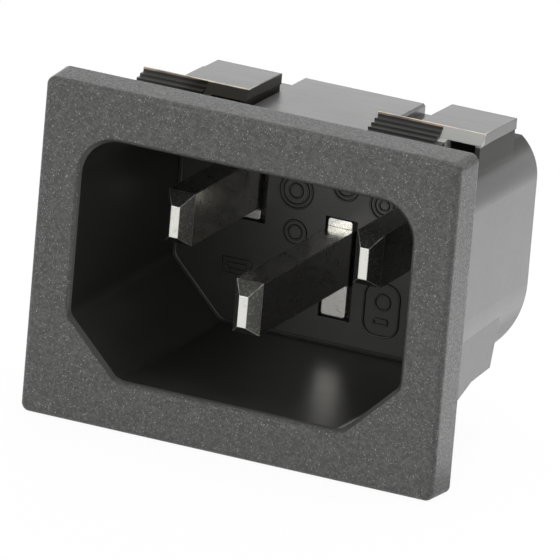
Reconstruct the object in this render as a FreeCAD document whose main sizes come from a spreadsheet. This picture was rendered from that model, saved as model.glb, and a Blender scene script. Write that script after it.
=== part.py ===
"""C14 panel inlet socket: a snap-in moulded housing and three solid blade contacts.

Frame, in millimetres: +X to the right and +Z up as the mouth is faced, +Y back into the
equipment. Y = 0 is the rear face of the flange, which seats on the front of the panel,
and X = Z = 0 is the middle of the mouth.
"""
import FreeCAD, Part
import math
import os
import Sketcher

SIZES = (
    # the standard interface: three flat blades in a mouth with two cut corners
    ("mouth_width", 24.4, "mouth, left to right"),
    ("mouth_height", 16.4, "mouth, bottom to top"),
    ("mouth_depth", 16.4, "mouth, front face to floor"),
    ("mouth_top_radius", 2.7, "upper corners of the mouth"),
    ("mouth_chamfer", 3.9, "leg of each cut lower corner"),
    ("mouth_blend", 1.0, "rounding at the ends of each cut corner"),
    ("mouth_lead", 0.3, "bevel round the mouth edge"),
    ("pin_spacing", 14.0, "line blade to neutral blade"),
    ("pin_rise", 2.0, "line and neutral blades above, and earth blade below, their middle"),
    ("blade_lift", 0.23, "middle of the blades above the middle of the mouth"),
    ("blade_thickness", 2.0, "blade, left to right"),
    ("blade_height", 3.7, "blade, bottom to top"),
    ("live_tip_depth", 4.4, "line and neutral tips behind the front face"),
    ("earth_tip_depth", 1.05, "earth tip behind the front face"),
    ("tip_length", 0.9, "length of the tapered tip"),
    ("tip_thickness", 0.62, "flat end of the tip, left to right"),
    ("tip_height", 2.17, "flat end of the tip, bottom to top"),
    ("tip_drop", 0.12, "flat end of the tip below the middle of its blade"),
    ("flare_length", 0.7, "flare where the blade meets its shoulder, front to back"),
    ("flare_drop", 0.33, "flare below the blade"),
    # flange and body
    ("flange_width", 30.7, "flange, left to right, at the seat"),
    ("flange_height", 23.8, "flange, bottom to top, at the seat"),
    ("flange_thickness", 2.8, "flange, front to back"),
    ("flange_draft", 2.0, "draft of the flange's sides, degrees"),
    ("flange_corner", 0.6, "corner radius of the flange"),
    ("flange_edge", 0.42, "rounding of the front edge"),
    ("side_wall", 1.27, "wall beside the mouth, at the flange"),
    ("top_wall", 1.5, "wall above and below the mouth, at the flange"),
    ("corner_wall", 0.8, "wall behind each cut corner"),
    ("floor_wall", 1.6, "wall behind the mouth floor"),
    ("body_draft", 0.75, "draft of the body, degrees"),
    ("body_top_radius", 3.5, "upper corners of the body"),
    ("body_blend", 6.5, "rounding at the ends of each lower chamfer"),
    # latches, integral with the body
    ("opening_height", 20.0, "height of the opening in the panel"),
    ("latch_overlap", 0.78, "crest of a latch past the opening's edge"),
    ("shelf_wall", 0.6, "wall left between the mouth and a latch shelf"),
    ("rib_width", 9.1, "middle rib between the two upper latches"),
    ("rib_bevel", 0.15, "bevel along the rib's top edges"),
    ("upper_shift", 0.13, "rib and left latch, right of the middle"),
    ("latch_slit", 0.17, "gap beside a latch"),
    ("latch_margin", 0.845, "outer end of a latch inside the body's side"),
    ("right_latch_shift", 0.05, "right latch, right of its usual place"),
    ("right_latch_back", 0.1, "right latch behind its usual place"),
    ("right_latch_rise", 0.2, "right latch above its usual height"),
    ("left_latch_back", -0.2, "left latch behind its usual place"),
    ("left_latch_rise", -0.12, "left latch above its usual height"),
    ("comb_width", 4.85, "stepped comb, left to right"),
    ("comb_gap", 0.35, "gap under the comb"),
    ("crest_depth", 6.95, "front of the crest behind the seat"),
    ("crest_length", 0.15, "flat crest, front to back"),
    ("crest_drop", 0.31, "first step below the crest"),
    ("tooth_drop", 0.18, "each further step"),
    ("tooth_pitch", 0.5, "length of each step"),
    ("ramp_length", 1.4, "lead-in ramp behind the crest"),
    ("cheek_width", 0.6, "plain cheek at the comb's right end"),
    ("pad_start", 3.1, "press pad, from the latch's left side"),
    ("pad_length", 5.2, "press pad, front to back"),
    ("pad_thickness", 0.75, "press pad"),
    ("pad_fall", 0.12, "fall of the press pad's top towards its rear"),
    ("nose_reach", 0.63, "sloping front of the pad, forward of the crest"),
    ("nose_drop", 0.7, "sloping front of the pad, below the crest"),
    ("wall_width", 0.35, "wall under the pad's right end"),
    ("wall_inset", 0.06, "that wall inside the pad's right side, front and rear"),
    ("root_inset", 1.2, "root under the pad, inside its right side"),
    ("root_length", 2.3, "root under the pad, front to back"),
    ("root_setback", 0.5, "root under the pad, ahead of its rear face"),
    # guide ribs at the lower corners
    ("guide_thickness", 1.3, "guide rib, left to right"),
    ("guide_inset", 0.27, "guide rib inside the body's side"),
    ("guide_root_drop", 9.0, "guide rib below the centre, at the flange"),
    ("guide_knee_depth", 7.2, "end of the sloping run"),
    ("guide_knee_drop", 6.33, "its height below the centre"),
    ("guide_heel_depth", 10.15, "rear lower corner"),
    ("guide_heel_drop", 6.1, "its height below the centre"),
    ("guide_top_depth", 11.3, "rear upper corner, inside the body"),
    ("guide_top_drop", 2.0, "its height below the centre"),
    # contacts and their seats
    ("tab_thickness", 0.8, "rear tab, left to right"),
    ("tab_height", 6.3, "rear tab, bottom to top"),
    ("tab_length", 8.0, "rear tab behind its boss"),
    ("tab_shift", 0.8, "tab and shoulder off the blade's centre"),
    ("tab_chamfer", 1.1, "cut corners at the tab's end"),
    ("tab_bevel", 0.22, "thinned end of the tab"),
    ("hole_diameter", 1.65, "hole through the tab"),
    ("hole_setback", 3.9, "hole ahead of the tab's end"),
    ("shoulder_thickness", 1.8, "shoulder, left to right"),
    ("shoulder_height", 6.85, "shoulder, bottom to top"),
    ("shoulder_length", 0.75, "shoulder, front to back"),
    ("shoulder_corner", 0.2, "corner radius of a shoulder"),
    ("earth_shift", 0.16, "earth shoulder, left of its blade"),
    ("seat_depth", 0.9, "seat below the mouth floor"),
    ("seat_clearance", 0.13, "gap round a shoulder in its seat"),
    ("seat_play", 0.3, "further gap at the right of a shoulder"),
    ("slot_clearance", 0.05, "gap round a tab in its slot"),
    ("boss_width", 4.2, "rear boss, left to right"),
    ("boss_height", 9.0, "rear boss, bottom to top"),
    ("boss_length", 1.4, "rear boss, front to back"),
    ("boss_corner", 0.6, "corner radius of a rear boss"),
    ("lance_height", 2.0, "retaining lance, bottom to top"),
    ("lance_length", 1.5, "retaining lance, front to back"),
    ("lance_rise", 0.4, "retaining lance off the tab's face"),
)
TEETH = 7

# places worked out from the sizes; depths are along Y, from the seat
FLOOR = "(Sizes.mouth_depth - Sizes.flange_thickness)"
SEAT = f"({FLOOR} + Sizes.seat_depth)"
REAR = f"({FLOOR} + Sizes.floor_wall)"
BOSS_END = f"({REAR} + Sizes.boss_length)"
TAB_END = f"({BOSS_END} + Sizes.tab_length)"
HALF_WIDTH = "(Sizes.mouth_width / 2 + Sizes.side_wall)"
HALF_HEIGHT = "(Sizes.mouth_height / 2 + Sizes.top_wall)"
BODY_CHAMFER = ("(Sizes.side_wall + Sizes.top_wall + Sizes.mouth_chamfer"
                " - Sizes.corner_wall * sqrt(2))")
SHELF = "(Sizes.mouth_height / 2 + Sizes.shelf_wall)"
CREST = "(Sizes.opening_height / 2 + Sizes.latch_overlap)"
LATCH_INNER = "(Sizes.rib_width / 2 + Sizes.latch_slit)"
LATCH_OUTER = f"({HALF_WIDTH} - Sizes.latch_margin)"
LATCH_WIDTH = f"({LATCH_OUTER} - {LATCH_INNER})"
COMB_UNDER = f"({SHELF} + Sizes.comb_gap)"
SINK = 0.3
WALL_SINK = 1.0

# the pieces that the housing holds: label, centre X, tip depth, shoulder's shift to the
# right, and +1 where the tab sits high
CONTACTS = (
    ("line_contact", "(-Sizes.pin_spacing / 2)", "Sizes.live_tip_depth", "0", 1),
    ("neutral_contact", "(Sizes.pin_spacing / 2)", "Sizes.live_tip_depth", "0", 1),
    ("earth_contact", "0", "Sizes.earth_tip_depth", "(-Sizes.earth_shift)", -1),
)


def size_sheet(doc):
    """Spreadsheet with one named cell for each driving size."""
    sheet = doc.addObject("Spreadsheet::Sheet", "Sizes")
    for row, (alias, value, note) in enumerate(SIZES, start=1):
        sheet.set(f"A{row}", note)
        sheet.set(f"B{row}", str(value))
        sheet.setAlias(f"B{row}", alias)
    doc.recompute()
    return sheet


def new_body(doc, label):
    body = doc.addObject("PartDesign::Body", label)
    body.Label = label
    return body


def sketch_on(body, name, role, offset, loops):
    """Sketch of closed straight-sided loops; each corner is a pair of expressions."""
    sketch = body.newObject("Sketcher::SketchObject", name)
    plane = next(item for item in body.Origin.OriginFeatures if item.Role == role)
    sketch.AttachmentSupport = (plane, [""])
    sketch.MapMode = "FlatFace"
    sketch.setExpression("AttachmentOffset.Base.z", offset)
    for corners in loops:
        add_loop(sketch, corners)
    return sketch


def add_loop(sketch, corners):
    """Closed loop of lines, drawn as a regular polygon that its dimensions then place."""
    first = sketch.GeometryCount
    count = len(corners)
    turn = 2 * math.pi / count
    ring = [FreeCAD.Vector(math.cos(step * turn), math.sin(step * turn), 0) * 10
            for step in range(count)]
    for step in range(count):
        sketch.addGeometry(Part.LineSegment(ring[step], ring[(step + 1) % count]))
    for step, (across, up) in enumerate(corners):
        line = first + step
        following = first + (step + 1) % count
        sketch.addConstraint(Sketcher.Constraint("Coincident", line, 2, following, 1))
        for kind, start, expression in (("DistanceX", ring[step].x, across),
                                        ("DistanceY", ring[step].y, up)):
            place = sketch.addConstraint(Sketcher.Constraint(kind, -1, 1, line, 1, start))
            sketch.setExpression(f"Constraints[{place}]", expression)


def rectangle(left, right, low, high):
    return ((left, low), (right, low), (right, high), (left, high))


def centred(middle_x, middle_z, width, height):
    return rectangle(f"{middle_x} - {width} / 2", f"{middle_x} + {width} / 2",
                     f"{middle_z} - {height} / 2", f"{middle_z} + {height} / 2")


def cut_corner_outline(half_width, half_height, chamfer):
    """Rectangle about the centre whose two lower corners are cut at 45 degrees."""
    return ((f"-{half_width}", half_height),
            (f"-{half_width}", f"-{half_height} + {chamfer}"),
            (f"-{half_width} + {chamfer}", f"-{half_height}"),
            (f"{half_width} - {chamfer}", f"-{half_height}"),
            (half_width, f"-{half_height} + {chamfer}"),
            (half_width, half_height))


def pad(body, name, sketch, length, backward=False):
    feature = body.newObject("PartDesign::Pad", name)
    feature.Profile = sketch
    feature.setExpression("Length", length)
    feature.Reversed = backward
    return feature


def pocket(body, name, sketch, length):
    feature = body.newObject("PartDesign::Pocket", name)
    feature.Profile = sketch
    feature.setExpression("Length", length)
    return feature


def dress(body, kind, name, base, size, chosen):
    """Fillet or chamfer on the edges of the base feature that the test chooses."""
    body.Document.recompute()
    feature = body.newObject(f"PartDesign::{kind}", name)
    edges = [f"Edge{number}" for number, edge in enumerate(base.Shape.Edges, start=1)
             if chosen(edge)]
    feature.Base = (base, edges)
    feature.setExpression("Radius" if kind == "Fillet" else "Size", size)
    return feature


def runs_back(edge):
    """True for an edge that runs front to back, drafted or not."""
    start, end = edge.Vertexes[0].Point, edge.Vertexes[-1].Point
    return abs(end.y - start.y) > 0.9 * start.distanceToPoint(end) > 0


def middle(edge):
    return edge.BoundBox.Center


def lies_at(edge, depth):
    return max(abs(edge.BoundBox.YMin - depth), abs(edge.BoundBox.YMax - depth)) < 1e-4


def housing(doc, sheet):
    body = new_body(doc, "housing")
    flange(body, sheet)
    shell(body, sheet)
    shelves(body, sheet)
    latch(body, "right_latch", f"({LATCH_INNER} + Sizes.right_latch_shift)", 1,
          "Sizes.right_latch_back", "Sizes.right_latch_rise")
    latch(body, "left_latch", f"(Sizes.upper_shift - {LATCH_OUTER})", 1,
          "Sizes.left_latch_back", "Sizes.left_latch_rise")
    latch(body, "lower_latch", f"(-{LATCH_WIDTH} / 2)", -1, "0", "0")
    guide_ribs(body)
    bosses(body, sheet)
    mouth(body, sheet)
    seats(body)
    return body


def flange(body, sheet):
    outline = centred("0", "0", "Sizes.flange_width", "Sizes.flange_height")
    sketch = sketch_on(body, "flange_outline", "XZ_Plane", "0", [outline])
    plate = pad(body, "flange_plate", sketch, "Sizes.flange_thickness")
    plate.setExpression("TaperAngle", "-Sizes.flange_draft")
    corners = dress(body, "Fillet", "flange_corners", plate, "Sizes.flange_corner", runs_back)
    front = -sheet.flange_thickness
    dress(body, "Fillet", "flange_front_edge", corners, "Sizes.flange_edge",
          lambda edge: lies_at(edge, front))


def shell(body, sheet):
    """Drafted body behind the flange, cut at its lower corners like the mouth."""
    outline = cut_corner_outline(HALF_WIDTH, HALF_HEIGHT, BODY_CHAMFER)
    sketch = sketch_on(body, "body_outline", "XZ_Plane", "0", [outline])
    block = pad(body, "body_block", sketch, REAR, backward=True)
    block.setExpression("TaperAngle", "-Sizes.body_draft")
    top = dress(body, "Fillet", "body_top_corners", block, "Sizes.body_top_radius",
                lambda edge: runs_back(edge) and middle(edge).y > 0 and middle(edge).z > 0)
    dress(body, "Fillet", "body_lower_corners", top, "Sizes.body_blend",
          lambda edge: runs_back(edge) and middle(edge).y > 0 and middle(edge).z < 0)


def shelves(body, sheet):
    """Lowered floors that the latches stand on, left and right of the rib and below."""
    clear = "Sizes.flange_height"
    half_rib = "Sizes.rib_width / 2"
    lower = f"({LATCH_WIDTH} / 2 + Sizes.latch_slit)"
    floors = [rectangle(f"Sizes.upper_shift + {half_rib}", HALF_WIDTH, SHELF, clear),
              rectangle(f"-{HALF_WIDTH}", f"Sizes.upper_shift - {half_rib}", SHELF, clear),
              rectangle(f"-{lower}", lower, f"-{clear}", f"-{SHELF}")]
    sketch = sketch_on(body, "shelf_outlines", "XZ_Plane", "0", floors)
    cut = pocket(body, "latch_shelves", sketch, REAR)
    shelf = sheet.mouth_height / 2 + sheet.shelf_wall
    dress(body, "Chamfer", "rib_bevels", cut, "Sizes.rib_bevel",
          lambda edge: runs_back(edge) and middle(edge).y > 0 and middle(edge).z > shelf + 0.1
          and abs(middle(edge).x) < sheet.rib_width / 2 + sheet.upper_shift + 0.01)


def latch(body, name, left, side, back, rise):
    """Snap latch: a stepped comb that grips the panel, beside a press pad that frees it.

    `side` is +1 on top and -1 below; `back` and `rise` set the latch off its usual place.
    """
    front = f"(Sizes.crest_depth + {back})"
    crest = f"({CREST} + {rise})"
    rear = f"({front} + Sizes.pad_length)"
    right = f"({left} + {LATCH_WIDTH})"
    nose = (f"{front} - Sizes.nose_reach", f"{crest} - Sizes.nose_drop")
    under = f"{crest} - Sizes.pad_fall - Sizes.pad_thickness"
    risen = f"{under} + {SINK}"

    def block(part, start, end, points):
        mirrored = [(depth, height if side > 0 else f"-({height})") for depth, height in points]
        sketch = sketch_on(body, f"{name}_{part}_profile", "YZ_Plane", start, [mirrored])
        pad(body, f"{name}_{part}", sketch, f"{end} - {start}")

    comb_end = f"({left} + Sizes.comb_width)"
    block("comb", left, comb_end, comb_points(front, crest))
    tip = f"{front} - {TEETH} * Sizes.tooth_pitch"
    tip_height = f"{crest} - Sizes.crest_drop - {TEETH - 1} * Sizes.tooth_drop"
    behind = f"{front} + Sizes.crest_length"
    block("cheek", comb_end, f"({comb_end} + Sizes.cheek_width)", (
        (behind, COMB_UNDER), (behind, f"{crest} - Sizes.crest_drop"), nose,
        (tip, tip_height), (tip, COMB_UNDER)))

    plate_start = f"({left} + Sizes.pad_start)"
    block("pad", plate_start, right, (
        (front, f"{crest} - Sizes.crest_drop"), (rear, under),
        (rear, f"{crest} - Sizes.pad_fall"), (front, crest)))
    block("nose", comb_end, right, (
        nose, (rear, under), (f"{front} + Sizes.crest_drop", f"{crest} - Sizes.crest_drop"),
        (front, crest)))

    wall_rear = f"{rear} - Sizes.wall_inset"
    block("wall", f"({right} - Sizes.wall_inset - Sizes.wall_width)",
          f"({right} - Sizes.wall_inset)", (
              (f"{nose[0]} + Sizes.wall_inset", f"{SHELF} - {WALL_SINK}"),
              (wall_rear, f"{SHELF} - {WALL_SINK}"), (wall_rear, risen),
              (f"{front} + Sizes.crest_drop", f"{crest} - Sizes.nose_drop + Sizes.wall_inset"),
              (f"{nose[0]} + Sizes.wall_inset", nose[1])))
    root_rear = f"{rear} - Sizes.root_setback"
    block("root", plate_start, f"({right} - Sizes.root_inset)", rectangle(
        f"{root_rear} - Sizes.root_length", root_rear, f"{SHELF} - {SINK}", risen))


def comb_points(front, crest):
    """Side profile of a comb: a thin crest, then steps that fall towards the flange."""
    behind = f"{front} + Sizes.crest_length"
    points = [(behind, crest), (front, crest)]
    for tooth in range(TEETH):
        level = f"{crest} - Sizes.crest_drop - {tooth} * Sizes.tooth_drop"
        points.append((f"{front} - {tooth} * Sizes.tooth_pitch", level))
        points.append((f"{front} - {tooth + 1} * Sizes.tooth_pitch", level))
    points.append((f"{front} - {TEETH} * Sizes.tooth_pitch", COMB_UNDER))
    points.append((f"{behind} + Sizes.ramp_length", COMB_UNDER))
    return points


def guide_ribs(body):
    """Ribs under the lower chamfers that centre the body in the panel's opening."""
    outer = f"({HALF_WIDTH} - Sizes.guide_inset)"
    profile = [("0", "-Sizes.guide_root_drop"),
               ("Sizes.guide_knee_depth", "-Sizes.guide_knee_drop"),
               ("Sizes.guide_heel_depth", "-Sizes.guide_heel_drop"),
               ("Sizes.guide_top_depth", "-Sizes.guide_top_drop"),
               ("0", "-Sizes.guide_top_drop")]
    for name, left in (("right", f"{outer} - Sizes.guide_thickness"), ("left", f"-{outer}")):
        sketch = sketch_on(body, f"{name}_guide_profile", "YZ_Plane", left, [profile])
        pad(body, f"{name}_guide_rib", sketch, "Sizes.guide_thickness")


def tab_centres():
    """Centre of each tab, as expressions for X and Z, and the shift of its shoulder."""
    for _, across, _, shift, side in CONTACTS:
        yield across, f"{side} * (Sizes.pin_rise + Sizes.tab_shift)", shift


def bosses(body, sheet):
    """Low boss round each slot, on the rear face."""
    loops = [centred(across, up, "Sizes.boss_width", "Sizes.boss_height")
             for across, up, _ in tab_centres()]
    sketch = sketch_on(body, "boss_outlines", "XZ_Plane", f"-{REAR}", loops)
    raised = pad(body, "rear_bosses", sketch, "Sizes.boss_length", backward=True)
    rear = sheet.mouth_depth - sheet.flange_thickness + sheet.floor_wall
    dress(body, "Fillet", "boss_corners", raised, "Sizes.boss_corner",
          lambda edge: runs_back(edge) and middle(edge).y > rear)


def mouth(body, sheet):
    outline = cut_corner_outline("(Sizes.mouth_width / 2)", "(Sizes.mouth_height / 2)",
                                 "Sizes.mouth_chamfer")
    sketch = sketch_on(body, "mouth_outline", "XZ_Plane", "Sizes.flange_thickness", [outline])
    recess = pocket(body, "mouth_recess", sketch, "Sizes.mouth_depth")
    front = -sheet.flange_thickness

    def inside(edge):
        centre = middle(edge)
        return (runs_back(edge) and abs(edge.BoundBox.YMin - front) < 1e-4
                and abs(centre.x) < sheet.mouth_width / 2 + 0.01
                and abs(centre.z) < sheet.mouth_height / 2 + 0.01)

    top = dress(body, "Fillet", "mouth_top_corners", recess, "Sizes.mouth_top_radius",
                lambda edge: inside(edge) and middle(edge).z > 0)
    lower = dress(body, "Fillet", "mouth_lower_corners", top, "Sizes.mouth_blend",
                  lambda edge: inside(edge) and middle(edge).z < 0)
    dress(body, "Chamfer", "mouth_lead_bevel", lower, "Sizes.mouth_lead",
          lambda edge: lies_at(edge, front)
          and abs(middle(edge).x) < sheet.mouth_width / 2 + 0.01
          and abs(middle(edge).z) < sheet.mouth_height / 2 + 0.01)


def seats(body):
    """Seat for each shoulder in the mouth floor, and the slot that its tab passes through."""
    half = "(Sizes.shoulder_thickness / 2 + Sizes.seat_clearance)"
    tall = "(Sizes.shoulder_height + 2 * Sizes.seat_clearance)"
    loops = [rectangle(f"{across} + {shift} - {half}",
                       f"{across} + {shift} + {half} + Sizes.seat_play",
                       f"{up} - {tall} / 2", f"{up} + {tall} / 2")
             for across, up, shift in tab_centres()]
    sketch = sketch_on(body, "seat_outlines", "XZ_Plane", f"-{FLOOR}", loops)
    pocket(body, "shoulder_seats", sketch, "Sizes.seat_depth")
    thin = "(Sizes.tab_thickness + 2 * Sizes.slot_clearance)"
    high = "(Sizes.tab_height + 2 * Sizes.slot_clearance)"
    loops = [centred(across, up, thin, high) for across, up, _ in tab_centres()]
    sketch = sketch_on(body, "slot_outlines", "XZ_Plane", f"-{SEAT}", loops)
    pocket(body, "tab_slots", sketch, f"{BOSS_END} - {SEAT}")


def contact(doc, sheet, label, across, tip_depth, shift, side):
    """Solid blade, shoulder and tab of one contact, seated from the front."""
    body = new_body(doc, label)
    blade_z = f"({side} * Sizes.pin_rise + Sizes.blade_lift)"
    tab_z = f"{side} * (Sizes.pin_rise + Sizes.tab_shift)"
    tip = f"({tip_depth} - Sizes.flange_thickness)"
    neck = f"({tip} + Sizes.tip_length)"

    outline = centred(f"{across} + {shift}", tab_z, "Sizes.shoulder_thickness",
                      "Sizes.shoulder_height")
    sketch = sketch_on(body, f"{label}_shoulder_outline", "XZ_Plane", f"-{SEAT}", [outline])
    shoulder = pad(body, f"{label}_shoulder", sketch, "Sizes.shoulder_length")
    dress(body, "Fillet", f"{label}_shoulder_corners", shoulder, "Sizes.shoulder_corner",
          runs_back)

    section = centred(across, blade_z, "Sizes.blade_thickness", "Sizes.blade_height")
    base = sketch_on(body, f"{label}_section", "XZ_Plane", f"-{neck}", [section])
    root = f"({SEAT} - Sizes.shoulder_length)"
    half = "Sizes.blade_height / 2"
    low, high = f"{blade_z} - {half}", f"{blade_z} + {half}"
    sketch = sketch_on(body, f"{label}_blade_profile", "YZ_Plane",
                       f"{across} - Sizes.blade_thickness / 2", [(
                           (neck, low), (f"{root} - Sizes.flare_length", low),
                           (root, f"{low} - Sizes.flare_drop"),
                           (SEAT, f"{low} - Sizes.flare_drop"),
                           (SEAT, high), (neck, high))])
    pad(body, f"{label}_blade", sketch, "Sizes.blade_thickness")

    end_section = centred(across, f"{blade_z} - Sizes.tip_drop", "Sizes.tip_thickness",
                          "Sizes.tip_height")
    end = sketch_on(body, f"{label}_end", "XZ_Plane", f"-{tip}", [end_section])
    taper = body.newObject("PartDesign::AdditiveLoft", f"{label}_tip")
    taper.Profile = base
    taper.Sections = [end]
    tab(body, label, across, tab_z)
    return body


def tab(body, label, across, middle_z):
    """Flat tab with cut corners, a thinned end, a hole and two retaining lances."""
    half_high = "Sizes.tab_height / 2"
    half_thin = "(Sizes.tab_thickness / 2)"
    low, high = f"{middle_z} - {half_high}", f"{middle_z} + {half_high}"
    side_view = ((SEAT, low), (f"{TAB_END} - Sizes.tab_chamfer", low),
                 (TAB_END, f"{low} + Sizes.tab_chamfer"),
                 (TAB_END, f"{high} - Sizes.tab_chamfer"),
                 (f"{TAB_END} - Sizes.tab_chamfer", high), (SEAT, high))
    sketch = sketch_on(body, f"{label}_tab_profile", "YZ_Plane", f"{across} - {half_thin}",
                       [side_view])
    pad(body, f"{label}_tab", sketch, "Sizes.tab_thickness")

    thin_start = f"{TAB_END} - Sizes.tab_chamfer"
    beyond = f"{TAB_END} + Sizes.tab_bevel"
    wedges = []
    for sign in (1, -1):
        face = f"{across} + {sign} * {half_thin}"
        wedges.append(((face, thin_start), (f"{face} - {sign} * Sizes.tab_bevel", TAB_END),
                       (f"{face} - {sign} * Sizes.tab_bevel", beyond),
                       (f"{face} + {sign} * Sizes.tab_bevel", beyond),
                       (f"{face} + {sign} * Sizes.tab_bevel", thin_start)))
    sketch = sketch_on(body, f"{label}_bevel_outlines", "XY_Plane", high, wedges)
    pocket(body, f"{label}_bevels", sketch, "Sizes.tab_height")

    lances = []
    for sign in (1, -1):
        face = f"{across} + {sign} * {half_thin}"
        sunk = f"{face} - {sign} * Sizes.tab_thickness / 4"
        lances.append(((sunk, BOSS_END), (f"{face} + {sign} * Sizes.lance_rise", BOSS_END),
                       (face, f"{BOSS_END} + Sizes.lance_length"),
                       (sunk, f"{BOSS_END} + Sizes.lance_length")))
    sketch = sketch_on(body, f"{label}_lance_outlines", "XY_Plane",
                       f"{middle_z} - Sizes.lance_height / 2", lances)
    pad(body, f"{label}_lances", sketch, "Sizes.lance_height")

    sketch = body.newObject("Sketcher::SketchObject", f"{label}_hole_outline")
    plane = next(item for item in body.Origin.OriginFeatures if item.Role == "YZ_Plane")
    sketch.AttachmentSupport = (plane, [""])
    sketch.MapMode = "FlatFace"
    sketch.setExpression("AttachmentOffset.Base.z", f"{across} + {half_thin}")
    ring = sketch.addGeometry(Part.Circle(FreeCAD.Vector(1, 1, 0), FreeCAD.Vector(0, 0, 1), 1))
    for kind, expression in (("DistanceX", f"{TAB_END} - Sizes.hole_setback"),
                             ("DistanceY", middle_z)):
        place = sketch.addConstraint(Sketcher.Constraint(kind, -1, 1, ring, 3, 1.0))
        sketch.setExpression(f"Constraints[{place}]", expression)
    place = sketch.addConstraint(Sketcher.Constraint("Diameter", ring, 2.0))
    sketch.setExpression(f"Constraints[{place}]", "Sizes.hole_diameter")
    pocket(body, f"{label}_hole", sketch, "Sizes.tab_thickness")


def check(doc, bodies):
    """Stop on any failed feature, and on a sub-part that isn't one valid solid."""
    for item in doc.Objects:
        if "Invalid" in item.State or "Error" in item.State:
            raise RuntimeError(f"{item.Name}: {item.State}")
    for body in bodies:
        shape = body.Shape
        if shape.isNull() or not shape.isValid() or len(shape.Solids) != 1:
            raise RuntimeError(f"{body.Label}: not one valid solid")


def main():
    doc = FreeCAD.newDocument("c14_panel_inlet_socket")
    sheet = size_sheet(doc)
    bodies = [housing(doc, sheet)]
    bodies += [contact(doc, sheet, *row) for row in CONTACTS]
    doc.recompute()
    check(doc, bodies)
    os.makedirs("parts", exist_ok=True)
    for body in bodies:
        body.Shape.exportStep(f"parts/{body.Label}.step")
        box = body.Shape.BoundBox
        print(f"{body.Label}: volume {body.Shape.Volume:.2f},"
              f" X {box.XMin:.2f}..{box.XMax:.2f}, Y {box.YMin:.2f}..{box.YMax:.2f},"
              f" Z {box.ZMin:.2f}..{box.ZMax:.2f}")


main()
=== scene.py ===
"""Looks of a C14 panel inlet socket: grained flange, glossy mouth, satin body, plated contacts."""

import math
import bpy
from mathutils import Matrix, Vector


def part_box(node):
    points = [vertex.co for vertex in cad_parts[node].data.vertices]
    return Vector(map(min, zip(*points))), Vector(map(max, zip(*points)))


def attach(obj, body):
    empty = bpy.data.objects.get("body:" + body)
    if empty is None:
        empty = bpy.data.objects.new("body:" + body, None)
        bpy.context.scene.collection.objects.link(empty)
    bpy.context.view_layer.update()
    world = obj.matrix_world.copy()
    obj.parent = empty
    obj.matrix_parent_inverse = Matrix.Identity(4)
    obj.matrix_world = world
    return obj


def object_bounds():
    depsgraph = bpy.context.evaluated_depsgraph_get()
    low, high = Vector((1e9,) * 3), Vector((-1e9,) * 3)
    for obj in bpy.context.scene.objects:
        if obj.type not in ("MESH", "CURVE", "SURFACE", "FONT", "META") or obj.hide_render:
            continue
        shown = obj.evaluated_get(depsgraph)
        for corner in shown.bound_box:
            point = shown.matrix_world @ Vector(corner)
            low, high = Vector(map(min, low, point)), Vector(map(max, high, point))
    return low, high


bl_info = {
    "name": "C14 panel inlet socket",
    "version": (1, 0, 0),
    "blender": (4, 5, 0),
    "location": "3D View > Sidebar > Inlet",
    "description": "Finishes for a snap-in power inlet, with a soft studio stage",
    "category": "Object",
}

import bmesh
import bpy
from bpy.props import FloatProperty, FloatVectorProperty, PointerProperty
from bpy.types import Operator, Panel, PropertyGroup
from mathutils import Matrix, Vector

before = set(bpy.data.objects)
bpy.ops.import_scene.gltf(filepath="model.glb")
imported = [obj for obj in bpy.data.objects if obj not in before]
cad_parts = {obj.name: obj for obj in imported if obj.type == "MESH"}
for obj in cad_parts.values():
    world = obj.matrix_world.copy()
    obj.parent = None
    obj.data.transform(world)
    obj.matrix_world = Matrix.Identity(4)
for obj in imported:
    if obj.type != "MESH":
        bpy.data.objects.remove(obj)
CAD_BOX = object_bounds()

MM = 0.001
CONTACTS = ("line_contact", "neutral_contact", "earth_contact")

# The housing's own measures, in millimetres, that its finishes are laid out by.
FLANGE_FRONT = CAD_BOX[0][1] / MM
MOUTH_FLOOR = 13.6
MOUTH_HALF_WIDTH, MOUTH_HALF_HEIGHT = 12.3, 8.3
# Left and right ends, front of the crest and height of each upper latch.
RIGHT_LATCH = (4.77, 12.61, 7.05, 10.98)
LEFT_LATCH = (-12.49, -4.65, 6.75, 10.66)
# Reach of the painted highlight on a latch's crest ahead, back and down, and its width on the
# pad's edge.
CREST_AHEAD, CREST_BACK, CREST_DEPTH = 0.3, 0.15, 0.11
HIGHLIGHT_EDGE = 0.06
# Right latch's nose with painted light, and the wall under its pad with painted shade and its fade
# below.
NOSE_LEFT, NOSE_FRONT, NOSE_BACK, NOSE_LOW = 9.6, 6.0, 7.04, 9.3
WALL_LEFT, WALL_LOW, WALL_HIGH, WALL_FADE = 11.2, 7.6, 10.12, 1.1
# Foot of the painted shade on the left latch, and where it starts and is full, from its left end.
SHADE_LOW, SHADE_START, SHADE_FULL = 8.7, 2.5, 4.5
# Tapered tip of a blade, front to back, and a point across between earth and the outer blades.
TAPER_LENGTH = 0.9
BETWEEN_BLADES = 3.0


# Sizes and colours that a user would change

def colour(name, description, value):
    return FloatVectorProperty(name=name, description=description, default=value,
                               subtype="COLOR", size=3, min=0, max=1)


def share(name, description, value):
    return FloatProperty(name=name, description=description, default=value,
                         subtype="FACTOR", min=0, max=1)


def length(name, description, millimetres):
    return FloatProperty(name=name, description=description, default=millimetres * MM,
                         unit="LENGTH", min=0)


def angle(name, description, degrees):
    return FloatProperty(name=name, description=description, default=math.radians(degrees),
                         subtype="ANGLE")


def brightness(name, description, value):
    return FloatProperty(name=name, description=description, default=value, min=0)


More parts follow.
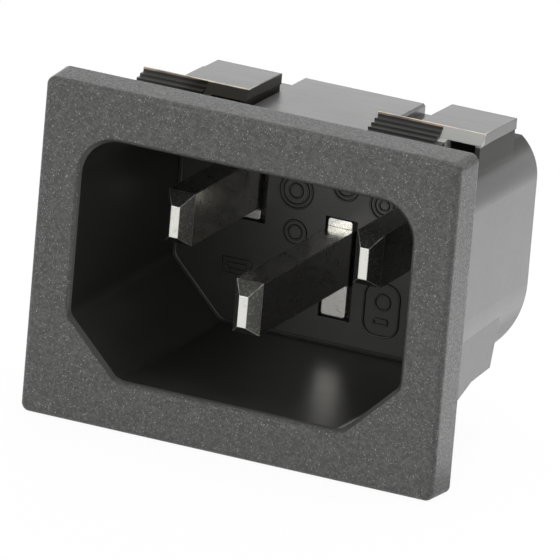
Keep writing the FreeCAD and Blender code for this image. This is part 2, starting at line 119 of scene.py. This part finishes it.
class InletPlastic(PropertyGroup):
    """Black glass-filled nylon of the housing"""
    grain_dark: colour("Grain, dark", "Hollows of the flange's spark-eroded grain",
                       (0.036, 0.036, 0.0355))
    grain_light: colour("Grain, light", "Worn tops of the flange's grain",
                        (0.078, 0.078, 0.0755))
    fleck: colour("Fleck", "Bright glass flecks in the flange", (0.34, 0.34, 0.33))
    satin: colour("Satin", "Smooth outside of the body and latches", (0.036, 0.036, 0.035))
    gloss: colour("Gloss", "Polished inside of the mouth", (0.027, 0.027, 0.0245))
    # Painted highlight on the crests and pad edges of the upper latches.
    painted_highlight: colour("Worn", "Rubbed crests of the latches", (0.62, 0.50, 0.38))
    # Painted light on the lit nose of the right latch, which is also rougher.
    lit_nose: colour("Rubbed", "Dulled nose of the right latch", (0.37, 0.37, 0.35))
    # Painted shade on the front and right side of the left latch.
    shaded_latch: colour("Soiled", "Greasy front and side of the left latch", (0.024, 0.022, 0.018))
    # Painted shade on the wall under the right latch's pad, which is also rougher.
    shaded: colour("Shaded", "Dull wall under the right latch's pad", (0.047, 0.047, 0.044))
    grain_size: length("Grain size", "Width of one bump of the flange's grain", 0.17)
    grain_height: length("Grain height", "Height of the flange's grain", 0.012)
    edge_round: length("Edge rounding", "Soft rounding of the body's edges", 0.07)
    flange_round: length("Flange edge rounding", "Soft rounding of the flange's edges", 0.16)
    grain_roughness: share("Grain roughness", "Roughness of the grained flange", 0.47)
    satin_roughness: share("Satin roughness", "Roughness of the body", 0.33)
    gloss_roughness: share("Gloss roughness", "Roughness inside the mouth", 0.31)


class InletPlate(PropertyGroup):
    """Bright nickel plate of the contacts"""
    plate: colour("Plate", "Clean nickel plate", (0.72, 0.71, 0.67))
    tarnish: colour("Tarnish", "Dulled patches of the plate", (0.50, 0.48, 0.43))
    # Painted shade: the tapers at the blades' tips are made dark to stand for their dark
    # reflection.
    shaded_taper: colour("Coined", "Rough tapers at the blades' tips", (0.12, 0.12, 0.11))
    # Painted highlight on the blades' edges, where they also wear rougher.
    painted_highlight: colour("Worn", "Rubbed edges of the blades", (0.85, 0.84, 0.80))
    roughness: share("Roughness", "Roughness of the clean plate", 0.16)
    edge_round: length("Edge rounding", "Soft rounding of the stamped edges", 0.1)
    scratch_height: length("Scratch depth", "Depth of the fine scratches", 0.004)


class InletMarks(PropertyGroup):
    """Raised plain rings on the floor of the mouth, and the fillet around it"""
    ridge_height: length("Ridge height", "Height of a ridge above the floor", 0.12)
    ridge_width: length("Ridge width", "Width of a ridge at its foot", 0.19)
    fillet_radius: length("Fillet radius", "Hollow fillet around the mouth's floor", 0.2)


class InletStage(PropertyGroup):
    """Floor, camera and light"""
    floor_drop: length("Floor drop", "Gap between the flange's lower edge and the floor", 0.0)
    camera_azimuth: angle("Camera azimuth", "Turn of the camera right of straight on", 23.63)
    camera_elevation: angle("Camera elevation", "Height of the camera above level", 17.74)
    camera_roll: angle("Camera roll", "Turn of the camera about its own axis", -4.9065)
    world_level: brightness("World level", "Strength of the white surroundings as light", 0.9)
    back_level: brightness("Back panel", "Brightness of the panel low behind", 1.5)
    top_level: brightness("Top panel", "Brightness of the panel above", 5.0)
    front_level: brightness("Front panel", "Brightness of the panel in front on the left", 2.4)
    sheet_level: brightness("Floor sheet", "Brightness of the sheet on the floor on the right",
                            1.25)


# Node helpers

BEVEL_SAMPLES = 4


def new_material(name):
    material = bpy.data.materials.new(name)
    material.use_nodes = True
    return material, material.node_tree, material.node_tree.nodes["Principled BSDF"]


def node(tree, kind, inputs=None, **settings):
    made = tree.nodes.new("ShaderNode" + kind)
    for name, value in settings.items():
        setattr(made, name, value)
    for name, value in (inputs or {}).items():
        connect(tree, value, made.inputs[name])
    return made


def connect(tree, value, socket):
    if isinstance(value, bpy.types.NodeSocket):
        tree.links.new(value, socket)
    else:
        socket.default_value = value


def maths(tree, operation, first, second=0.0):
    return node(tree, "Math", {0: first, 1: second}, operation=operation).outputs[0]


def ramp(tree, value, start, end, low=0.0, high=1.0):
    """Smooth change from `low` at `start` to `high` at `end`."""
    made = node(tree, "MapRange", {"Value": value, "From Min": start, "From Max": end,
                                   "To Min": low, "To Max": high},
                interpolation_type="SMOOTHSTEP")
    return made.outputs["Result"]


def both(tree, *masks):
    """Product of masks."""
    whole = masks[0]
    for mask in masks[1:]:
        whole = maths(tree, "MULTIPLY", whole, mask)
    return whole


def between(tree, value, low, high, soft=0.01):
    """1 where the value is from `low` to `high`."""
    return both(tree, ramp(tree, value, low - soft, low), ramp(tree, value, high + soft, high))


def mix(tree, factor, first, second):
    """Mix of two colours."""
    made = node(tree, "Mix", {0: factor, 6: first, 7: second}, data_type="RGBA",
                clamp_factor=True)
    return made.outputs[2]


def mix_number(tree, factor, first, second):
    made = node(tree, "Mix", {0: factor, 2: first, 3: second}, data_type="FLOAT",
                clamp_factor=True)
    return made.outputs[0]


def place_in_mm(tree):
    """Point of the surface in millimetres, whole and as its three numbers."""
    point = node(tree, "TexCoord").outputs["Object"]
    scaled = node(tree, "VectorMath", {0: point, "Scale": 1 / MM}, operation="SCALE").outputs[0]
    return scaled, node(tree, "SeparateXYZ", {0: scaled}).outputs


def noise(tree, point, size, detail=2.0, roughness=0.5, stretch=None, offset=(0, 0, 0)):
    """Noise whose lumps are `size` millimetres across, longer along an axis by `stretch`."""
    if stretch or any(offset):
        scale = tuple(1 / s for s in (stretch or (1, 1, 1)))
        point = node(tree, "Mapping", {"Vector": point, "Scale": scale,
                                       "Location": offset}).outputs[0]
    return node(tree, "TexNoise", {"Vector": point, "Scale": 1 / size, "Detail": detail,
                                   "Roughness": roughness}).outputs["Fac"]


def rgba(tint, lift=1.0):
    """Colour for a socket, `lift` times as light."""
    return (*(lift * channel for channel in tint), 1)


# Housing

NYLON_IOR = 1.54
NOSE_ROUGHNESS, WALL_ROUGHNESS = 0.7, 0.85
# Shine of the body, and the lower shine where shade is painted on the left latch.
BODY_SHINE, SHADED_SHINE = 0.5, 0.15


class INLET_OT_housing(Operator):
    """Finish the moulded housing: grained flange, satin body and polished mouth"""
    bl_idname = "inlet.housing"
    bl_label = "Housing"

    def execute(self, context):
        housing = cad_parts["housing"]
        housing.data.materials.clear()
        housing.data.materials.append(moulded_nylon(context.scene.inlet_plastic))
        return {"FINISHED"}


def moulded_nylon(values):
    """Grain on the flange, gloss in the mouth and satin on everything behind the flange."""
    material, tree, shader = new_material("moulded_nylon")
    point, place = place_in_mm(tree)
    x, y, z = place
    mouth = mouth_mask(tree, x, y, z)
    outside = maths(tree, "SUBTRACT", 1.0, mouth)
    flange = both(tree, ramp(tree, y, 0.02, -0.02), outside)
    grained, grained_rough, grain = grain_finish(tree, values, point)
    satin, satin_rough, shine = satin_finish(tree, values, point, place)
    gloss, gloss_rough = gloss_finish(tree, values, point)

    body = mix(tree, mouth, satin, gloss)
    connect(tree, mix(tree, flange, body, grained), shader.inputs["Base Color"])
    body_rough = mix_number(tree, mouth, satin_rough, gloss_rough)
    connect(tree, mix_number(tree, flange, body_rough, grained_rough),
            shader.inputs["Roughness"])
    connect(tree, shine, shader.inputs["Specular IOR Level"])
    shader.inputs["IOR"].default_value = NYLON_IOR

    radius = mix_number(tree, flange, values.edge_round, values.flange_round)
    rounded = node(tree, "Bevel", {"Radius": radius}, samples=BEVEL_SAMPLES).outputs[0]
    fine = noise(tree, point, 0.12, detail=2.0, offset=(8, 1, 6))
    height = mix_number(tree, flange, maths(tree, "MULTIPLY", fine, 0.12), grain)
    bump = node(tree, "Bump", {"Height": height, "Normal": rounded, "Strength": 1.0,
                               "Distance": values.grain_height})
    connect(tree, bump.outputs[0], shader.inputs["Normal"])
    return material


def grain_finish(tree, values, point):
    """Colour, roughness and height of the spark-eroded grain, with its glass flecks."""
    size = values.grain_size / MM
    grain = noise(tree, point, size, detail=3.0, roughness=0.62)
    mottle = noise(tree, point, 0.8, detail=2.0, offset=(12, 6, 1))
    lumps = maths(tree, "ADD", grain, ramp(tree, mottle, 0.2, 0.8, -0.04, 0.04))
    tint = mix(tree, ramp(tree, lumps, 0.36, 0.66), rgba(values.grain_dark),
               rgba(values.grain_light))
    fleck = noise(tree, point, 0.5 * size, detail=0.0, offset=(31, 7, 13))
    tint = mix(tree, ramp(tree, fleck, 0.72, 0.82, 0, 0.8), tint, rgba(values.fleck))
    rough = ramp(tree, grain, 0.3, 0.7, values.grain_roughness + 0.07,
                 values.grain_roughness - 0.08)
    return tint, rough, grain


def satin_finish(tree, values, point, place):
    """Colour, roughness and shine of the outside, with painted light, shade and highlights."""
    cloud = noise(tree, point, 2.5, detail=3.0, offset=(5, 3, 9))
    tint = mix(tree, ramp(tree, cloud, 0.3, 0.7), rgba(values.satin), rgba(values.satin, 1.2))
    # Painted highlight on the latches' crests and pad edges.
    tint = mix(tree, crest_mask(tree, *place, cloud), tint, rgba(values.painted_highlight))
    nose = lit_nose_mask(tree, *place)
    # Painted light on the right latch's nose.
    tint = mix(tree, nose, tint, rgba(values.lit_nose))
    wall = shaded_wall_mask(tree, *place)
    # Painted shade on the wall under the right latch's pad, fading below.
    tint = mix(tree, wall, tint, rgba(values.shaded))
    latch_shade = latch_shade_mask(tree, *place)
    # Painted shade on the front and side of the left latch.
    tint = mix(tree, latch_shade, tint, rgba(values.shaded_latch))

    streak = noise(tree, point, 0.5, detail=3.0, stretch=(9.0, 1.0, 1.0))
    rough = ramp(tree, streak, 0.25, 0.75, values.satin_roughness - 0.015,
                 values.satin_roughness + 0.02)
    rough = mix_number(tree, nose, rough, NOSE_ROUGHNESS)
    rough = mix_number(tree, wall, rough, WALL_ROUGHNESS)
    return tint, rough, ramp(tree, latch_shade, 0.0, 1.0, BODY_SHINE, SHADED_SHINE)


def gloss_finish(tree, values, point):
    """Colour and roughness of the polished mouth, slightly hazed by plugging."""
    scuff = noise(tree, point, 1.2, detail=2.0, offset=(2, 11, 4))
    tint = mix(tree, ramp(tree, scuff, 0.4, 0.8, 0, 0.6), rgba(values.gloss),
               rgba(values.gloss, 1.3))
    rough = ramp(tree, scuff, 0.4, 0.8, values.gloss_roughness, values.gloss_roughness + 0.04)
    return tint, rough


def mouth_mask(tree, x, y, z):
    """1 on the walls and floor of the mouth."""
    across, up = maths(tree, "ABSOLUTE", x), maths(tree, "ABSOLUTE", z)
    return both(tree, ramp(tree, across, MOUTH_HALF_WIDTH + 0.02, MOUTH_HALF_WIDTH),
                ramp(tree, up, MOUTH_HALF_HEIGHT + 0.02, MOUTH_HALF_HEIGHT),
                ramp(tree, y, MOUTH_FLOOR + 0.06, MOUTH_FLOOR + 0.02),
                ramp(tree, y, FLANGE_FRONT + 0.03, FLANGE_FRONT + 0.05))


def crest_mask(tree, x, y, z, cloud):
    """1 on the painted highlight of each latch's crest and pad edge, less where it is patchy."""
    masks = []
    for left, right, front, top in (RIGHT_LATCH, LEFT_LATCH):
        crest = both(tree, between(tree, y, front - CREST_AHEAD, front + CREST_BACK),
                     ramp(tree, z, top - CREST_DEPTH - 0.03, top - CREST_DEPTH))
        edge = both(tree, between(tree, x, right - HIGHLIGHT_EDGE, right + 0.01),
                    ramp(tree, y, front + 0.02, front + 0.1), ramp(tree, z, top - 0.05, top))
        across = between(tree, x, left - 0.1, right + 0.1)
        masks.append(both(tree, across, ramp(tree, z, top + 0.2, top + 0.1),
                          maths(tree, "MAXIMUM", crest, edge)))
    patchy = ramp(tree, cloud, 0.35, 0.6, 0.35, 1.0)
    return both(tree, maths(tree, "ADD", *masks), patchy)


def lit_nose_mask(tree, x, y, z):
    """1 on the front of the right latch's pad, where light is painted."""
    return both(tree, ramp(tree, x, NOSE_LEFT, NOSE_LEFT + 0.1),
                between(tree, y, NOSE_FRONT, NOSE_BACK), ramp(tree, z, NOSE_LOW - 0.1, NOSE_LOW))


def shaded_wall_mask(tree, x, y, z):
    """1 on the wall under the right latch's pad, painted in shade, fading out on the body's
    corner.
    """
    return both(tree, ramp(tree, z, WALL_LOW, WALL_LOW + WALL_FADE),
                ramp(tree, z, WALL_HIGH + 0.05, WALL_HIGH),
                ramp(tree, x, WALL_LEFT, WALL_LEFT + 0.3), behind_flange(tree, y))


def latch_shade_mask(tree, x, y, z):
    """1 on painted shade at the front and right side of the left latch, and none on its crest and
    top.
    """
    left, right, front, top = LEFT_LATCH
    wide = both(tree, ramp(tree, x, left + SHADE_START, left + SHADE_FULL),
                ramp(tree, x, right + 0.12, right + 0.1))
    tall = both(tree, ramp(tree, z, SHADE_LOW - 0.1, SHADE_LOW),
                ramp(tree, z, top - 0.02, top - 0.05), behind_flange(tree, y))
    side = ramp(tree, x, right - 0.08, right - 0.04)
    ahead = ramp(tree, y, front + 0.03, front)
    return both(tree, wide, tall, maths(tree, "MAXIMUM", side, ahead))


def behind_flange(tree, y):
    """1 on what stands behind the flange's rear face."""
    return ramp(tree, y, 0.0, 0.05)


# Contacts

COINED_ROUGHNESS, EDGE_ROUGHNESS = 0.4, 0.55


class INLET_OT_contacts(Operator):
    """Plate the three contacts with bright nickel, finely scratched by plugging"""
    bl_idname = "inlet.contacts"
    bl_label = "Contacts"

    def execute(self, context):
        material = nickel_plate(context.scene.inlet_plate)
        for name in CONTACTS:
            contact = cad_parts[name]
            contact.data.materials.clear()
            contact.data.materials.append(material)
        return {"FINISHED"}


def nickel_plate(values):
    """Bright plate with dulled patches, pits, fine scratches, painted shade on tips, highlight on
    edges.
    """
    material, tree, shader = new_material("nickel_plate")
    point, (x, y, z) = place_in_mm(tree)
    shader.inputs["Metallic"].default_value = 1.0
    patch = noise(tree, point, 0.9, detail=4.0, roughness=0.65)
    scratch = noise(tree, point, 0.06, detail=3.0, stretch=(1.0, 22.0, 1.0))
    pit = noise(tree, point, 0.16, detail=2.0, roughness=0.6, offset=(3, 5, 8))
    dulled = maths(tree, "MAXIMUM", ramp(tree, patch, 0.5, 0.72, 0, 0.7),
                   ramp(tree, pit, 0.66, 0.74, 0, 0.8))
    shaded_taper = tip_mask(tree, x, y)
    rounded = node(tree, "Bevel", {"Radius": values.edge_round},
                   samples=BEVEL_SAMPLES).outputs[0]
    edge = both(tree, edge_mask(tree, rounded), ramp(tree, patch, 0.35, 0.6, 0.3, 0.85))

    plate = mix(tree, dulled, rgba(values.plate), rgba(values.tarnish))
    # Painted shade on the tapers, speckled by the pits.
    taper = mix(tree, ramp(tree, pit, 0.5, 0.66), rgba(values.shaded_taper), rgba(values.shaded_taper, 2.0))
    plate = mix(tree, shaded_taper, plate, taper)
    # Painted highlight on the blades' edges, which also wear rougher.
    connect(tree, mix(tree, edge, plate, rgba(values.painted_highlight)), shader.inputs["Base Color"])
    rough = ramp(tree, scratch, 0.35, 0.7, values.roughness - 0.03, values.roughness + 0.1)
    rough = mix_number(tree, dulled, rough, values.roughness + 0.2)
    rough = mix_number(tree, shaded_taper, rough, COINED_ROUGHNESS)
    connect(tree, mix_number(tree, edge, rough, EDGE_ROUGHNESS), shader.inputs["Roughness"])
    height = maths(tree, "SUBTRACT", scratch, maths(tree, "MULTIPLY", pit, 0.6))
    bump = node(tree, "Bump", {"Height": height, "Normal": rounded,
                               "Distance": values.scratch_height})
    connect(tree, bump.outputs[0], shader.inputs["Normal"])
    return material


def edge_mask(tree, rounded):
    """1 where the rounded edges turn away from the flat faces."""
    flat = node(tree, "NewGeometry").outputs["Normal"]
    along = node(tree, "VectorMath", {0: rounded, 1: flat}, operation="DOT_PRODUCT")
    return ramp(tree, along.outputs["Value"], 0.99, 0.93)


def tip_mask(tree, x, y):
    """1 on the tapers at the tips of the blades, and 0 on their flat ends."""
    middle = ramp(tree, maths(tree, "ABSOLUTE", x), BETWEEN_BLADES + 0.1, BETWEEN_BLADES)
    masks = []
    for name, blades in (("earth_contact", middle),
                         ("line_contact", maths(tree, "SUBTRACT", 1.0, middle))):
        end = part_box(name)[0].y / MM
        taper = both(tree, ramp(tree, y, end + 0.01, end + 0.03),
                     ramp(tree, y, end + TAPER_LENGTH, end + TAPER_LENGTH - 0.02))
        masks.append(both(tree, taper, blades))
    return maths(tree, "ADD", *masks)


# Moulded marks

# Middle across and up, and radius, in millimetres.
RINGS = [((-3.56, 2.02), 1.24), ((-3.56, 2.02), 0.95), ((-3.56, 2.02), 0.5),
         ((0.09, 3.0), 0.92), ((0.09, 3.0), 0.62),
         ((2.99, 2.32), 1.0), ((2.99, 2.32), 0.68), ((2.99, 2.32), 0.36),
         ((-3.4, -0.9), 0.85), ((-3.4, -0.9), 0.5),
         ((3.5, -4.45), 0.55)]
# Middle across and up, half the width and height, and corner radius, in millimetres.
OUTLINES = [((3.45, -5.0), 1.3, 1.85, 0.95), ((3.45, -5.85), 0.5, 0.2, 0.15),
            ((-7.5, -4.2), 1.1, 0.55, 0.2), ((-7.5, -4.2), 0.7, 0.2, 0.12)]
CORNER_STEPS = 14
# Section of a ridge, in halves of its width and in its height, its foot sunk in the floor.
RIDGE = [(-1, 0.25), (-0.62, -0.8), (-0.25, -1), (0.25, -1), (0.62, -0.8), (1, 0.25)]
# Points closer than this, in millimetres, are one.
SAME_PLACE = 1e-4


class INLET_OT_marks(Operator):
    """Make the plain raised rings on the floor of the mouth"""
    bl_idname = "inlet.marks"
    bl_label = "Moulded marks"

    def execute(self, context):
        values = context.scene.inlet_marks
        half, height = values.ridge_width / 2 / MM, values.ridge_height / MM
        section = [(across * half, depth * height) for across, depth in RIDGE]
        mesh = bmesh.new()
        for middle, radius in RINGS:
            sweep(mesh, rounded_outline(middle, radius, radius, radius), section)
        for middle, half_width, half_height, corner in OUTLINES:
            sweep(mesh, rounded_outline(middle, half_width, half_height, corner), section)
        marks = moulded_piece("moulded_marks", mesh)
        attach(marks, "root")
        return {"FINISHED"}


def rounded_outline(middle, half_width, half_height, corner):
    """Points and outward directions around a rounded rectangle, or a ring if all corner."""
    points = []
    for quarter in range(4):
        for step in range(CORNER_STEPS):
            turn = math.radians(90) * (quarter + step / (CORNER_STEPS - 1))
            out = Vector((math.cos(turn), math.sin(turn)))
            side = Vector(((1, -1, -1, 1)[quarter], (1, 1, -1, -1)[quarter]))
            centre = Vector((side.x * (half_width - corner), side.y * (half_height - corner)))
            place = Vector(middle) + centre + corner * out
            if not points or (place - points[-1][0]).length > SAME_PLACE:
                points.append((place, out))
    if (points[0][0] - points[-1][0]).length < SAME_PLACE:
        points.pop()
    return points


def sweep(mesh, outline, section):
    """Closed ridge along the outline; its section is in millimetres outward and into the floor."""
    rings = []
    for place, out in outline:
        rings.append([mesh.verts.new(((place.x + out.x * across) * MM,
                                      (MOUTH_FLOOR + depth) * MM,
                                      (place.y + out.y * across) * MM))
                      for across, depth in section])
    for ring, following in zip(rings, rings[1:] + rings[:1]):
        for low in range(len(section)):
            high = (low + 1) % len(section)
            face = mesh.faces.new((ring[low], ring[high], following[high], following[low]))
            face.smooth = high != 0


def moulded_piece(name, mesh):
    """Object of that mesh in the housing's finish."""
    bmesh.ops.recalc_face_normals(mesh, faces=mesh.faces)
    data = bpy.data.meshes.new(name)
    mesh.to_mesh(data)
    mesh.free()
    piece = bpy.data.objects.new(name, data)
    bpy.context.scene.collection.objects.link(piece)
    data.materials.append(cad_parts["housing"].data.materials[0])
    return piece


# Fillet around the mouth's floor

FILLET_STEPS = 5
# How far the fillet is sunk in the walls and floor, in millimetres.
FILLET_SUNK = 0.02
# For finding the floor's outline: points to merge and distance from the floor, in millimetres,
# and the most that a wall's normal leans back.
MERGE, AT_FLOOR, UPRIGHT = 0.002, 0.01, 0.4


class INLET_OT_fillet(Operator):
    """Make the small hollow fillet where the mouth's walls meet its floor"""
    bl_idname = "inlet.fillet"
    bl_label = "Floor fillet"

    def execute(self, context):
        radius = context.scene.inlet_marks.fillet_radius / MM
        section = [(FILLET_SUNK, FILLET_SUNK), (-radius, FILLET_SUNK)]
        for step in range(FILLET_STEPS + 1):
            turn = math.radians(90) * step / FILLET_STEPS
            section.append((radius * (math.sin(turn) - 1), radius * (math.cos(turn) - 1)))
        section.append((FILLET_SUNK, -radius))
        mesh = bmesh.new()
        sweep(mesh, floor_outline(), section)
        fillet = moulded_piece("floor_fillet", mesh)
        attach(fillet, "root")
        return {"FINISHED"}


def floor_outline():
    """Points and outward directions, in order, where the mouth's walls meet its floor."""
    mesh = bmesh.new()
    mesh.from_mesh(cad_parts["housing"].data)
    bmesh.ops.remove_doubles(mesh, verts=mesh.verts, dist=MERGE * MM)
    ways = {}
    for edge in mesh.edges:
        wall = wall_at_floor(edge)
        if wall:
            for vert in edge.verts:
                ways.setdefault(vert, []).append((edge.other_vert(vert), wall.normal.copy()))
    start = max(ways, key=lambda vert: (vert.co.x, vert.co.z))
    order, here, last = [], start, None
    while not order or here is not start:
        order.append(here)
        onward = next(other for other, normal in ways[here] if other is not last)
        last, here = here, onward
    outline = []
    for vert in order:
        inward = sum((Vector((normal.x, normal.z)).normalized() for other, normal in ways[vert]),
                     Vector((0, 0)))
        place = Vector((vert.co.x, vert.co.z)) / MM
        outline.append((place, -inward / max(inward.length_squared / 2, 0.5)))
    mesh.free()
    return outline


def wall_at_floor(edge):
    """The mouth wall that stands on this edge, where the edge lies at the mouth's floor."""
    if any(abs(vert.co.y / MM - MOUTH_FLOOR) > AT_FLOOR for vert in edge.verts):
        return None
    walls = [face for face in edge.link_faces if abs(face.normal.y) < UPRIGHT
             and face.calc_center_median().y / MM < MOUTH_FLOOR]
    return walls[0] if len(walls) == 1 else None


# Stage

CAMERA_LENS = 990.64
CAMERA_PLACE = Vector((0.3943, -0.89719, 0.31358))
FLOOR_SIZE = 4.0
PAPER = (0.86, 0.86, 0.86)
# Share of plain white that the floor shows; the rest is its own paper, for the shadow.
FLOOR_WHITE = 0.955
# Fades of the surroundings overhead and on the far right: the direction's part along Z or X
# where each starts and ends, and the strength there.
WORLD_ABOVE, WORLD_RIGHT = (0.5, 0.9, 1.0, 0.3), (0.6, 0.9, 1.0, 0.2)
# Height of the lamp that lies just over the floor.
SHEET_UP = CAD_BOX[0][2] + 0.2 * MM
# Name, place, point faced, width and height, all in metres, and the setting of its brightness.
LAMPS = [
    ("back_panel", (-0.022, 0.065, 0.009), (-0.022, 0, 0.009), 0.11, 0.04, "back_level"),
    ("top_panel", (0.08, 0.04, 0.6), (0, 0, 0), 0.4, 0.4, "top_level"),
    ("front_panel", (-0.36, -0.5, 0.1), (0, 0, 0), 0.5, 0.2, "front_level"),
    ("floor_sheet", (0.038, 0.036, SHEET_UP), (0.038, 0.036, 1), 0.045, 0.065, "sheet_level"),
]


class INLET_OT_stage(Operator):
    """Make the floor, the camera, the surroundings and the soft lamps"""
    bl_idname = "inlet.stage"
    bl_label = "Stage"

    def execute(self, context):
        values = context.scene.inlet_stage
        make_camera(values)
        make_floor(values)
        make_world(values)
        for name, place, aim, width, height, setting in LAMPS:
            make_panel(name, Vector(place), Vector(aim), width, height,
                       getattr(values, setting))
        context.scene.view_settings.view_transform = "Standard"
        return {"FINISHED"}


def make_camera(values):
    """Camera right of and above the mouth, turned by the three angles."""
    azimuth, elevation = values.camera_azimuth, values.camera_elevation
    right = Vector((math.cos(azimuth), math.sin(azimuth), 0))
    back = Vector((math.sin(azimuth) * math.cos(elevation),
                   -math.cos(azimuth) * math.cos(elevation), math.sin(elevation)))
    up = back.cross(right)
    roll = values.camera_roll
    turned_right = math.cos(roll) * right - math.sin(roll) * up
    turned_up = math.sin(roll) * right + math.cos(roll) * up
    data = bpy.data.cameras.new("camera")
    data.lens = CAMERA_LENS
    camera = bpy.data.objects.new("camera", data)
    bpy.context.scene.collection.objects.link(camera)
    camera.matrix_world = (Matrix.Translation(CAMERA_PLACE)
                           @ Matrix((turned_right, turned_up, back)).transposed().to_4x4())
    bpy.context.scene.camera = camera


def make_floor(values):
    low = CAD_BOX[0][2] - values.floor_drop
    bpy.ops.mesh.primitive_plane_add(size=FLOOR_SIZE, location=(0, 0, low))
    floor = bpy.context.object
    floor.name = "floor"
    floor.data.materials.append(floor_paper())


def floor_paper():
    """Paper that is nearly plain white to the eye and in reflections, and keeps its shadow."""
    material, tree, shader = new_material("floor_paper")
    shader.inputs["Base Color"].default_value = rgba(PAPER)
    shader.inputs["Roughness"].default_value = 0.9
    white = node(tree, "Emission", {"Color": (1, 1, 1, 1), "Strength": 1.0}).outputs[0]
    path = node(tree, "LightPath").outputs
    shown = maths(tree, "MAXIMUM", path["Is Camera Ray"], mirrored(tree, path))
    seen = node(tree, "MixShader", {0: maths(tree, "MULTIPLY", shown, FLOOR_WHITE),
                                    1: shader.outputs[0], 2: white})
    connect(tree, seen.outputs[0], tree.nodes["Material Output"].inputs["Surface"])
    return material


def make_world(values):
    """White surroundings, dimmer overhead and on the far right, and plain white to the eye."""
    world = bpy.data.worlds.new("surroundings")
    world.use_nodes = True
    tree = world.node_tree
    even = tree.nodes["Background"]
    even.inputs["Color"].default_value = (1, 1, 1, 1)
    direction = node(tree, "TexCoord").outputs["Generated"]
    x, y, z = node(tree, "SeparateXYZ", {0: direction}).outputs
    path = node(tree, "LightPath").outputs
    level = mix_number(tree, mirrored(tree, path), values.world_level, 1.0)
    level = both(tree, ramp(tree, z, *WORLD_ABOVE), ramp(tree, x, *WORLD_RIGHT), level)
    connect(tree, level, even.inputs["Strength"])
    white = node(tree, "Background", {"Color": (1, 1, 1, 1), "Strength": 1.0}).outputs[0]
    seen = node(tree, "MixShader", {0: path["Is Camera Ray"], 1: even.outputs[0], 2: white})
    connect(tree, seen.outputs[0], tree.nodes["World Output"].inputs["Surface"])
    bpy.context.scene.world = world


def mirrored(tree, path):
    """1 for what is seen in a mirror or through glass."""
    return maths(tree, "MAXIMUM", path["Is Glossy Ray"], path["Is Transmission Ray"])


def make_panel(name, place, aim, width, height, level):
    """Soft lamp of that brightness, facing `aim` and hidden from the camera."""
    data = bpy.data.lights.new(name, "AREA")
    data.shape = "RECTANGLE"
    data.size, data.size_y = width, height
    data.energy = level * math.pi * width * height
    lamp = bpy.data.objects.new(name, data)
    lamp.location = place
    lamp.rotation_euler = (aim - place).to_track_quat("-Z", "Y").to_euler()
    lamp.visible_camera = False
    bpy.context.scene.collection.objects.link(lamp)


# Sidebar and registration

class INLET_PT_sidebar(Panel):
    """Sizes, colours and buttons of the inlet socket"""
    bl_label = "Inlet socket"
    bl_idname = "INLET_PT_sidebar"
    bl_space_type = "VIEW_3D"
    bl_region_type = "UI"
    bl_category = "Inlet"

    def draw(self, context):
        for kind, name in GROUPS:
            values = getattr(context.scene, name)
            box = self.layout.box()
            for key in kind.__annotations__:
                box.prop(values, key)
        for kind in OPERATORS:
            self.layout.operator(kind.bl_idname)


GROUPS = [(InletPlastic, "inlet_plastic"), (InletPlate, "inlet_plate"),
          (InletMarks, "inlet_marks"), (InletStage, "inlet_stage")]
OPERATORS = [INLET_OT_stage, INLET_OT_housing, INLET_OT_contacts, INLET_OT_marks, INLET_OT_fillet]


def register():
    for kind, name in GROUPS:
        bpy.utils.register_class(kind)
        setattr(bpy.types.Scene, name, PointerProperty(type=kind))
    for kind in [*OPERATORS, INLET_PT_sidebar]:
        bpy.utils.register_class(kind)


def unregister():
    for kind in [INLET_PT_sidebar, *reversed(OPERATORS)]:
        bpy.utils.unregister_class(kind)
    for kind, name in reversed(GROUPS):
        delattr(bpy.types.Scene, name)
        bpy.utils.unregister_class(kind)


def main():
    register()
    bpy.ops.inlet.stage()
    bpy.ops.inlet.housing()
    bpy.ops.inlet.contacts()
    bpy.ops.inlet.marks()
    bpy.ops.inlet.fillet()


if __name__ == "__main__":
    main()
